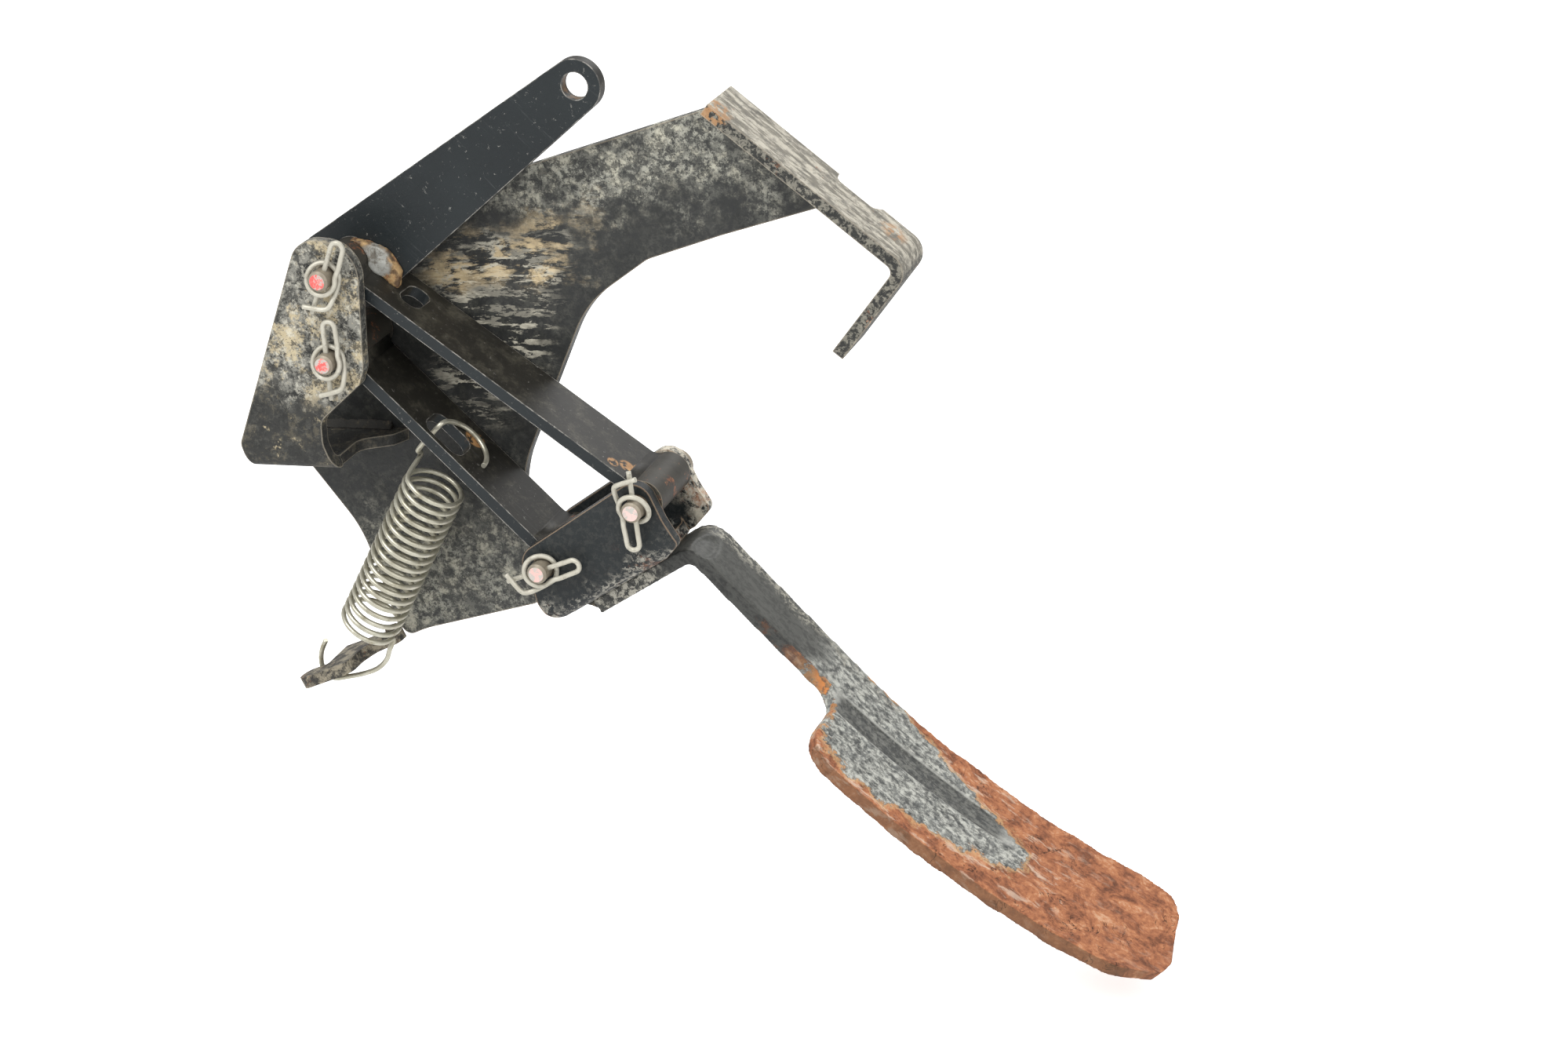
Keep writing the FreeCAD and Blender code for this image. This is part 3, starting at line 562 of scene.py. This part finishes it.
# How far the slanted end moves along the arm, by the place across it.
end_trim = [(-95, -17), (-88, -11), (-76, -2), (-65, 0), (-35, -4.5), (-20, -6.5), (-10, -8)]


def between(points, value):
    # The height of a bent line at a place, straight from point to point.
    for (a, low), (b, high) in zip(points, points[1:]):
        if value <= b:
            return low + (high - low) * max(0.0, (value - a) / (b - a))
    return points[-1][1]


def eased(value, low, high):
    t = min(1.0, max(0.0, (value - low) / (high - low)))
    return t * t * (3 - 2 * t)


def inside_by(points, s, y):
    # Distance to an outline in mm, above zero inside it.
    best, inside = 1e9, False
    for (s1, y1), (s2, y2) in zip(points, points[1:] + points[:1]):
        ds, dy = s2 - s1, y2 - y1
        t = min(1.0, max(0.0, ((s - s1) * ds + (y - y1) * dy) / (ds * ds + dy * dy)))
        best = min(best, math.hypot(s - s1 - t * ds, y - y1 - t * dy))
        if (y1 > y) != (y2 > y) and s < s1 + (y - y1) * ds / dy:
            inside = not inside
    return best if inside else -best


pad = remeshed("pedal_arm", 0.0011, 3)
mesh = pad.data
paint_depth = mesh.attributes.new("paint_depth", "FLOAT", "POINT")
groove_depth = mesh.attributes.new("groove_depth", "FLOAT", "POINT")
spots = [vertex.co.copy() for vertex in mesh.vertices]
outward = [vertex.normal.copy() for vertex in mesh.vertices]
for i, (spot, out_of) in enumerate(zip(spots, outward)):
    s, y = spot.dot(arm_along) * 1000, spot.y * 1000
    depth = inside_by(paint_outline, s, y)
    paint_depth.data[i].value = depth
    rusty = eased(-depth, -3.0, 4.0)
    faces_out = out_of.dot(arm_out)
    channel = eased(groove_half - abs(y - groove_middle - (s - 300) * 0.03), -1.5, 1.5)
    channel *= eased(s, groove_start, groove_start + 16) * eased(groove_end - s, 0, 26)
    groove_depth.data[i].value = channel if faces_out > 0.4 else 0.0
    if s > trim_start:
        spot = spot + arm_along * (between(end_trim, y) * ((s - trim_start) / trim_run) ** 2 / 1000)
    if faces_out > 0.4:
        spot = spot - arm_out * (channel * groove_drop)
        dimple = math.hypot((s - dimple_s) / dimple_long, (y - dimple_y) / dimple_wide)
        spot = spot - arm_out * (dimple_drop * eased(1.0 - dimple, 0.0, 0.45))
    pitted = noise.noise(spot * 130.0) * 0.00045 + noise.noise(spot * 430.0) * 0.00022
    scaly = max(0.0, noise.noise(spot * 70.0 + Vector((3, 1, 7)))) * 0.0011
    mesh.vertices[i].co = spot + out_of * (rusty * (pitted + scaly - 0.0007) - 0.00005)

pad_look, tree, where, shader = new_material("pad paint")
depth = put(tree, "Attribute", None, attribute_name="paint_depth").outputs["Fac"]
channel = put(tree, "Attribute", None, attribute_name="groove_depth").outputs["Fac"]
neck = call(
    tree, side, Vector=where, Point=(0.232, 0, -0.163), Direction=(0.736, 0, -0.677), Width=0.022, Wobble=0.02
)["Mask"]
ragged = maths(tree, "SUBTRACT", cloud(tree, where, 110.0, 7.0, 0.7), 0.5)
ragged = maths(tree, "ADD", depth, times(tree, ragged, ramp(tree, neck, 0.0, 1.0, 9.0, 26.0)))
painted = ramp(tree, ragged, -0.8, 0.8)
face = facing_back(tree)
# Faces turned to the front are darkened in paint and rust alike: painted shade on the arm's front side.
front_side_painted_shade = ramp(tree, face, -0.55, -0.85)
paint = over(tree, cloud(tree, where, 60.0, 5.0), (0.024, 0.0245, 0.022, 1), (0.056, 0.056, 0.050, 1))
paint = over(tree, times(tree, front_side_painted_shade, 0.75), paint, (0.010, 0.0105, 0.010, 1))
veil_and_groove_shade = call(tree, patches, Vector=where, Scale=110.0, Cover=0.62, Softness=0.14)["Mask"]
veil_and_groove_shade = times(tree, veil_and_groove_shade, ramp(tree, neck, 0.0, 1.0, 0.02, 0.6))
# Less veil in the groove: painted shade in the recess.
veil_and_groove_shade = times(tree, veil_and_groove_shade, ramp(tree, channel, 0.0, 0.8, 1.0, 0.06))
paint = over(tree, veil_and_groove_shade, paint, (0.25, 0.26, 0.245, 1))
grime_and_groove_shade = call(tree, patches, Vector=where, Scale=480.0, Cover=0.42, Softness=0.08)["Mask"]
drawn_out = call(
    tree, streaks, Vector=where, Turn=math.radians(-38), Scale=330.0, Cover=0.5, Stretch=0.3, Softness=0.06
)["Mask"]
grime_and_groove_shade = times(tree, maths(tree, "ADD", grime_and_groove_shade, drawn_out, clamp=True), ramp(tree, neck, 0.0, 1.0, 0.05, 0.7))
# Less grime in the groove as well, adding to the painted shade in the recess.
grime_and_groove_shade = times(tree, grime_and_groove_shade, ramp(tree, channel, 0.0, 0.8, 1.0, 0.25))
paint = over(tree, grime_and_groove_shade, paint, (0.56, 0.56, 0.50, 1))
far_edge = call(
    tree, side, Vector=where, Point=(0, -0.0175, 0), Direction=(0, 1, 0), Width=0.004, Wobble=0.012
)["Mask"]
dust = call(tree, patches, Vector=where, Scale=420.0, Cover=0.46, Softness=0.04)["Mask"]
dust = times(tree, times(tree, dust, far_edge), 0.7)
paint = over(tree, dust, paint, (0.42, 0.40, 0.33, 1))
leg = call(
    tree, side, Vector=where, Point=(0.158, 0, -0.108), Direction=(-0.807, 0, -0.59), Width=0.010, Wobble=0.02
)["Mask"]
crust = call(tree, patches, Vector=where, Scale=380.0, Cover=0.44, Softness=0.035)["Mask"]
paint = over(tree, times(tree, times(tree, crust, leg), 0.75), paint, (0.46, 0.44, 0.37, 1))
chip = call(tree, patches, Vector=where, Scale=300.0, Cover=0.46, Softness=0.10)["Mask"]
paint = over(tree, times(tree, chip, ramp(tree, neck, 0.0, 1.0, 0.1, 0.85)), paint, (0.026, 0.028, 0.028, 1))
# A pale line along the groove's lips: painted highlight.
groove_lip_painted_highlight = times(tree, ramp(tree, channel, 0.02, 0.3), ramp(tree, channel, 0.75, 0.4))
paint = over(tree, times(tree, groove_lip_painted_highlight, 0.55), paint, (0.36, 0.36, 0.33, 1))
flakes = call(tree, rust, Vector=where, Scale=85.0)
rust_colour = flakes["Color"]
wander = cloud(tree, where, 58.0, 3.5, 0.6, 1.6)
crack = ramp(tree, maths(tree, "ABSOLUTE", maths(tree, "SUBTRACT", wander, 0.5)), 0.011, 0.0)
crack = times(tree, crack, ramp(tree, cloud(tree, where, 42.0, 3.0), 0.52, 0.60))
rust_colour = over(tree, times(tree, crack, 0.9), rust_colour, (0.030, 0.014, 0.009, 1))
pale = call(
    tree, streaks, Vector=where, Turn=math.radians(-34), Scale=170.0, Cover=0.36, Stretch=0.35, Softness=0.05
)["Mask"]
pale = times(tree, pale, ramp(tree, ragged, -45.0, -3.0, 0.15, 0.75))
rust_colour = over(tree, pale, rust_colour, (0.56, 0.42, 0.32, 1))
# Painted shade: the rust on faces turned to the front is darkened as well.
rust_colour = over(tree, times(tree, front_side_painted_shade, 0.7), rust_colour, (0.12, 0.065, 0.035, 1))
border = times(tree, ramp(tree, ragged, -4.0, -0.5), maths(tree, "SUBTRACT", 1.0, painted))
border = times(tree, border, neck)
rust_colour = over(tree, times(tree, border, 0.55), rust_colour, (0.50, 0.34, 0.17, 1))
blotched = ramp(tree, cloud(tree, where, 330.0, 5.0), 0.38, 0.62, 0.15, 0.95)
on_arm = times(tree, maths(tree, "SUBTRACT", 1.0, neck), blotched)
rust_colour = over(tree, on_arm, rust_colour, (0.075, 0.040, 0.030, 1))
corner = distance_to(tree, where, (0.2457, -0.050, -0.1583))
corner = times(tree, ramp(tree, corner, 0.012, 0.007), ramp(tree, cloud(tree, where, 200.0, 4.0), 0.44, 0.52))
rust_colour = over(tree, corner, rust_colour, (0.48, 0.185, 0.055, 1))
colour = over(tree, painted, rust_colour, paint)
rough = ramp(tree, painted, 0.0, 1.0, 0.85, 0.5)
relief = maths(tree, "SUBTRACT", flakes["Height"], times(tree, crack, 0.6))
relief = times(tree, relief, ramp(tree, painted, 0.0, 1.0, 1.0, 0.12))
finish_material(tree, shader, colour, rough, 0.0, relief, None, 0.7, 0.0014)
mesh.materials.append(pad_look)
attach(pad, "pedal")
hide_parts("pedal_arm")

# Fillets where each link bar meets its tubes: small rounded corners that the paint flows over
# without a step. Each is one profile in mm, pushed out across the bar.
fillet_paint, tree, where, shader = new_material("fillet paint")
colour = over(tree, cloud(tree, where, 55.0, 6.0), (0.006, 0.0055, 0.0045, 1), (0.026, 0.024, 0.019, 1))
dirt = call(tree, patches, Vector=where, Scale=90.0, Cover=0.28, Softness=0.1)["Mask"]
colour = over(tree, times(tree, dirt, 0.35), colour, (0.13, 0.12, 0.09, 1))
finish_material(tree, shader, colour, 0.5, 0.0, cloud(tree, where, 380.0, 4.0), None, 0.14)
upper_pivot, lower_pivot = Vector((0, 0, 21.0)), Vector((0, 0, -21.0))
upper_pedal, lower_pedal = Vector((155.5, 0, -75.5)), Vector((106.6, 0, -114.2))
bend_r, tube_r, half_bar = 7.0, 10.0, 3.0
bar_front, bar_width = -45.9, 35.8
reach = math.sqrt((bend_r + tube_r) ** 2 - (bend_r + half_bar) ** 2)
first = math.atan2(-(bend_r + half_bar), -reach)
inner = tube_r / (bend_r + tube_r) - 0.03
fillet_profile = [(reach, half_bar - 0.4), (reach, half_bar)]
for step in range(9):
    turn = -math.pi / 2 + (first + math.pi / 2) * step / 8
    fillet_profile.append((reach + bend_r * math.cos(turn), bend_r + half_bar + bend_r * math.sin(turn)))
fillet_profile += [(reach * inner, (bend_r + half_bar) * inner), (9.3, half_bar - 0.4)]
for body, end, centre, other in (
    ("upper_link", "pivot", upper_pivot, upper_pedal), ("upper_link", "pedal", upper_pedal, upper_pivot),
    ("lower_link", "pivot", lower_pivot, lower_pedal), ("lower_link", "pedal", lower_pedal, lower_pivot),
):
    run = (other - centre).normalized()
    for name, up in (("top", Vector((-run.z, 0, run.x))), ("under", Vector((run.z, 0, -run.x)))):
        made = bmesh.new()
        start = centre + Vector((0, bar_front, 0))
        corners = [made.verts.new((start + run * p + up * q) / 1000) for p, q in fillet_profile]
        cap = made.faces.new(corners)
        pushed = bmesh.ops.extrude_face_region(made, geom=[cap], use_keep_orig=True)["geom"]
        far_corners = [item for item in pushed if isinstance(item, bmesh.types.BMVert)]
        bmesh.ops.translate(made, verts=far_corners, vec=(0, bar_width / 1000, 0))
        bmesh.ops.recalc_face_normals(made, faces=made.faces)
        for face in made.faces:
            face.smooth = len(face.verts) == 4
        fillet_mesh = bpy.data.meshes.new(body + "_fillet")
        made.to_mesh(fillet_mesh)
        made.free()
        fillet_mesh.materials.append(fillet_paint)
        fillet = bpy.data.objects.new(body + "_" + end + "_" + name + "_fillet", fillet_mesh)
        bpy.context.scene.collection.objects.link(fillet)
        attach(fillet, body)

# Wire clips: plated steel wire, 2.5 mm thick and dulled, bent into one piece that holds each pin.
# A straight leg goes through the pin, then come a bow, one ring round the pin, and a tail bent over
# the leg. The run is given along the leg, to its side and out from the ear, in mm.
clip_look, tree, where, shader = new_material("clip wire")
colour = over(tree, cloud(tree, where, 220.0, 6.0), (0.30, 0.28, 0.22, 1), (0.62, 0.60, 0.52, 1))
stain = call(tree, patches, Vector=where, Scale=260.0, Cover=0.22, Softness=0.08)["Mask"]
colour = over(tree, times(tree, stain, 0.5), colour, (0.12, 0.10, 0.07, 1))
finish_material(tree, shader, colour, 0.5, 0.35, cloud(tree, where, 700.0, 4.0), None, 0.2)


def wire(name, points, radius, sides, material):
    # A round wire along a smooth run of points: a circle, pushed out ring by ring, with closed ends.
    made = bmesh.new()
    earlier, later = points[:1] + points, points[1:] + points[-1:]
    runs = [(b - a).normalized() for a, b in zip(earlier, later)]
    across = runs[0].cross(Vector((0, 1, 0.1))).normalized()
    before = None
    for point, run in zip(points, runs):
        across = (across - run * across.dot(run)).normalized()
        place = Matrix((across.cross(run), across, run)).transposed().to_4x4()
        place.translation = point
        if before is None:
            bmesh.ops.create_circle(made, segments=sides, radius=radius, matrix=place)
            rim = first_rim = made.edges[:]
        else:
            grown = bmesh.ops.extrude_edge_only(made, edges=rim)["geom"]
            moved = [item for item in grown if isinstance(item, bmesh.types.BMVert)]
            rim = [item for item in grown if isinstance(item, bmesh.types.BMEdge)]
            rim = [item for item in rim if item.verts[0] in moved and item.verts[1] in moved]
            bmesh.ops.transform(made, matrix=place @ before.inverted(), verts=moved)
        before = place
    bmesh.ops.holes_fill(made, edges=first_rim + rim, sides=sides)
    bmesh.ops.recalc_face_normals(made, faces=made.faces)
    for face in made.faces:
        face.smooth = len(face.verts) == 4
    mesh = bpy.data.meshes.new(name)
    made.to_mesh(mesh)
    made.free()
    mesh.materials.append(material)
    piece = bpy.data.objects.new(name, mesh)
    bpy.context.scene.collection.objects.link(piece)
    return piece


def smooth_run(points, steps):
    # The same run with extra points, eased through each given one.
    done = []
    for i in range(len(points) - 1):
        a, b = points[max(i - 1, 0)], points[i]
        c, d = points[i + 1], points[min(i + 2, len(points) - 1)]
        for k in range(steps):
            t = k / steps
            bend = (2 * a - 5 * b + 4 * c - d) * t * t + (3 * b - a - 3 * c + d) * t ** 3
            done.append(0.5 * (2 * b + (c - a) * t + bend))
    done.append(points[-1])
    return done


clip_wire, clip_out = 0.00124, -58.5
bow_start, bow_r = 17.5, 3.1
ring_r, ring_leave = 7.3, 7.8
ring_lifts = (-0.6, -1.3, -2.0, -2.6, -2.8, -2.4, -1.6, -0.4, 1.0, 2.2, 2.8, 2.9, 2.6, 2.0)
clip_run = [(-19, 0, 0), (-14, 0, 0), (-7, 0, 0), (0, 0, 0), (7, 0, 0), (14, 0, 0), (bow_start, 0, 0)]
for degrees in (-60, -30, 0, 30, 60):
    turn = math.radians(degrees)
    clip_run.append((bow_start + bow_r * math.cos(turn), bow_r + bow_r * math.sin(turn), 0))
clip_run += [(bow_start, 2 * bow_r, 0), (13, 6.4, 0), (8.6, 6.6, -0.2)]
for step, lift in enumerate(ring_lifts):
    turn = math.radians(60 + 30 * step)
    radius = ring_leave if step > 11 else ring_r
    clip_run.append((radius * math.cos(turn), radius * math.sin(turn), lift))
clip_run += [(-5, 8.3, 0.4), (-9, 8.2, -1.2), (-11.6, 7.6, -2.2), (-12.9, 6.2, -2.8)]
clip_run += [(-13.9, 3.5, -3.0), (-15, 0, -3.0), (-16.2, -4.4, -3.0)]
for node, pin, degrees, body in (
    ("upper_pivot_clip", upper_pivot, 71.0, "bracket"), ("lower_pivot_clip", lower_pivot, 93.6, "bracket"),
    ("upper_pedal_clip", upper_pedal, -82.5, "pedal"), ("lower_pedal_clip", lower_pedal, 25.6, "pedal"),
):
    ca, sa = math.cos(math.radians(degrees)), math.sin(math.radians(degrees))
    points = [pin + Vector((a * ca + b * sa, clip_out + lift, a * sa - b * ca)) for a, b, lift in clip_run]
    clip = wire(node + "_wire", smooth_run([p / 1000 for p in points], 4), clip_wire, 14, clip_look)
    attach(clip, body)
    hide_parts(node)

# Return spring: plated steel wire, 2.6 mm thick, bright and slightly yellow. Its lower hook goes
# round the anchor, then come open coils, and its top end goes up through the lower link's slot with
# the last half turn lying on the link.
spring_look, tree, where, shader = new_material("spring wire")
colour = over(tree, cloud(tree, where, 130.0, 6.0), (0.24, 0.22, 0.145, 1), (0.64, 0.625, 0.54, 1))
stain = call(tree, patches, Vector=where, Scale=120.0, Cover=0.22, Softness=0.12)["Mask"]
colour = over(tree, times(tree, stain, 0.8), colour, (0.18, 0.15, 0.08, 1))
finish_material(tree, shader, colour, 0.36, 0.65, cloud(tree, where, 600.0, 4.0), None, 0.12)
coil_r, coil_turns, spring_wire = 14.4, 17.5, 0.00129
foot, top = Vector((-0.2, -30.0, -171.9)), Vector((42.9, -35.0, -86.8))
spring_axis = (top - foot).normalized()
spring_side = Vector((0, 1, 0)).cross(spring_axis).normalized()
spring_back = spring_axis.cross(spring_side).normalized()
spring_run = [
    Vector((-27.6, -25.2, -187.3)), Vector((-30.4, -25.4, -194.0)), Vector((-30.8, -25.6, -200.5)),
    Vector((-28.6, -25.8, -206.0)), Vector((-23.5, -25.8, -208.0)), Vector((-17.0, -25.8, -206.3)),
    Vector((-8.0, -25.9, -203.2)), Vector((1.0, -26.6, -198.5)), Vector((7.5, -28.5, -191.5)),
    Vector((11.0, -31.5, -184.0)),
]
steps = 12
count = int(coil_turns * steps)
for i in range(count):
    turn = 2 * math.pi * i / steps
    middle = foot + (top - foot) * (i / count)
    around = spring_side * (coil_r * math.cos(turn)) - spring_back * (coil_r * math.sin(turn))
    spring_run.append(middle + around)
bar_along = (lower_pedal - lower_pivot).normalized()
bar_up = Vector((-bar_along.z, 0, bar_along.x))
# The top end, along the bar from its pivot, across it, and above its middle.
last = [
    (60.5, -28.0, -20.5), (58.4, -32.5, -17.0), (58.0, -34.0, -10.0), (57.9, -34.0, -3.0),
    (57.9, -33.4, 2.6),
]
for degrees in range(165, -1, -15):
    turn = math.radians(degrees)
    last.append((72.3 + coil_r * math.cos(turn), -34.5 + coil_r * math.sin(turn), 4.45))
spring_run += [lower_pivot + Vector((0, y, 0)) + bar_along * s + bar_up * n for s, y, n in last]
spring_points = smooth_run([p / 1000 for p in spring_run], 3)
spring = wire("return_spring_wire", spring_points, spring_wire, 14, spring_look)
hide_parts("return_spring")
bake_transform(spring)

# Camera as the photo was taken; pale floor, soft studio light, white behind.
eye = bpy.data.cameras.new("photo camera")
eye.sensor_width = 36.0
eye.lens = 72.94
camera = bpy.data.objects.new("photo_camera", eye)
camera.location = (0.66016, -1.32704, 0.52058)
aim = Vector((0.21927, -0.02800, -0.08614)) - camera.location
camera.rotation_euler = aim.to_track_quat("-Z", "Y").to_euler()
bpy.context.scene.collection.objects.link(camera)
bpy.context.scene.camera = camera

floor_mesh = bpy.data.meshes.new("floor")
floor_build = bmesh.new()
bmesh.ops.create_grid(floor_build, x_segments=1, y_segments=1, size=9.0)
floor_build.to_mesh(floor_mesh)
floor_build.free()
floor = bpy.data.objects.new("floor", floor_mesh)
floor.location = (0.2, 0.5, start_box[0][2] - 0.02)
bpy.context.scene.collection.objects.link(floor)
floor_look = bpy.data.materials.new("pale floor")
floor_look.use_nodes = True
tree = floor_look.node_tree
tree.nodes.clear()
lit = put(tree, "BsdfDiffuse", {"Color": (0.9, 0.9, 0.9, 1)})
glow = put(tree, "Emission", {"Color": (1, 1, 1, 1), "Strength": 0.42})
total = put(tree, "AddShader", {0: lit.outputs[0], 1: glow.outputs[0]})
seen = put(tree, "LightPath").outputs["Is Camera Ray"]
mixed = put(tree, "MixShader", {0: seen, 1: lit.outputs[0], 2: total.outputs[0]})
tree.links.new(mixed.outputs[0], put(tree, "OutputMaterial").inputs["Surface"])
floor_mesh.materials.append(floor_look)

world = bpy.data.worlds.new("studio")
bpy.context.scene.world = world
world.use_nodes = True
tree = world.node_tree
tree.nodes.clear()
seen = put(tree, "LightPath").outputs["Is Camera Ray"]
dim = put(tree, "Background", {"Color": (1, 1, 1, 1), "Strength": 0.75})
white = put(tree, "Background", {"Color": (1, 1, 1, 1), "Strength": 1.0})
mixed = put(tree, "MixShader", {0: seen, 1: dim.outputs[0], 2: white.outputs[0]})
tree.links.new(mixed.outputs[0], put(tree, "OutputWorld").inputs["Surface"])

for name, place, size, power in (
    ("key", (-0.6, -1.3, 1.6), 1.2, 38.0),
    ("fill", (1.5, -1.2, 0.9), 1.4, 14.0),
    ("back", (0.4, 1.4, 1.3), 1.2, 16.0),
):
    lamp = bpy.data.lights.new(name, "AREA")
    lamp.size = size
    lamp.energy = power
    lamp_object = bpy.data.objects.new(name, lamp)
    lamp_object.location = place
    lamp_object.rotation_euler = (Vector((0.2, 0, -0.05)) - Vector(place)).to_track_quat("-Z", "Y").to_euler()
    bpy.context.scene.collection.objects.link(lamp_object)

bpy.context.scene.view_settings.view_transform = "Standard"
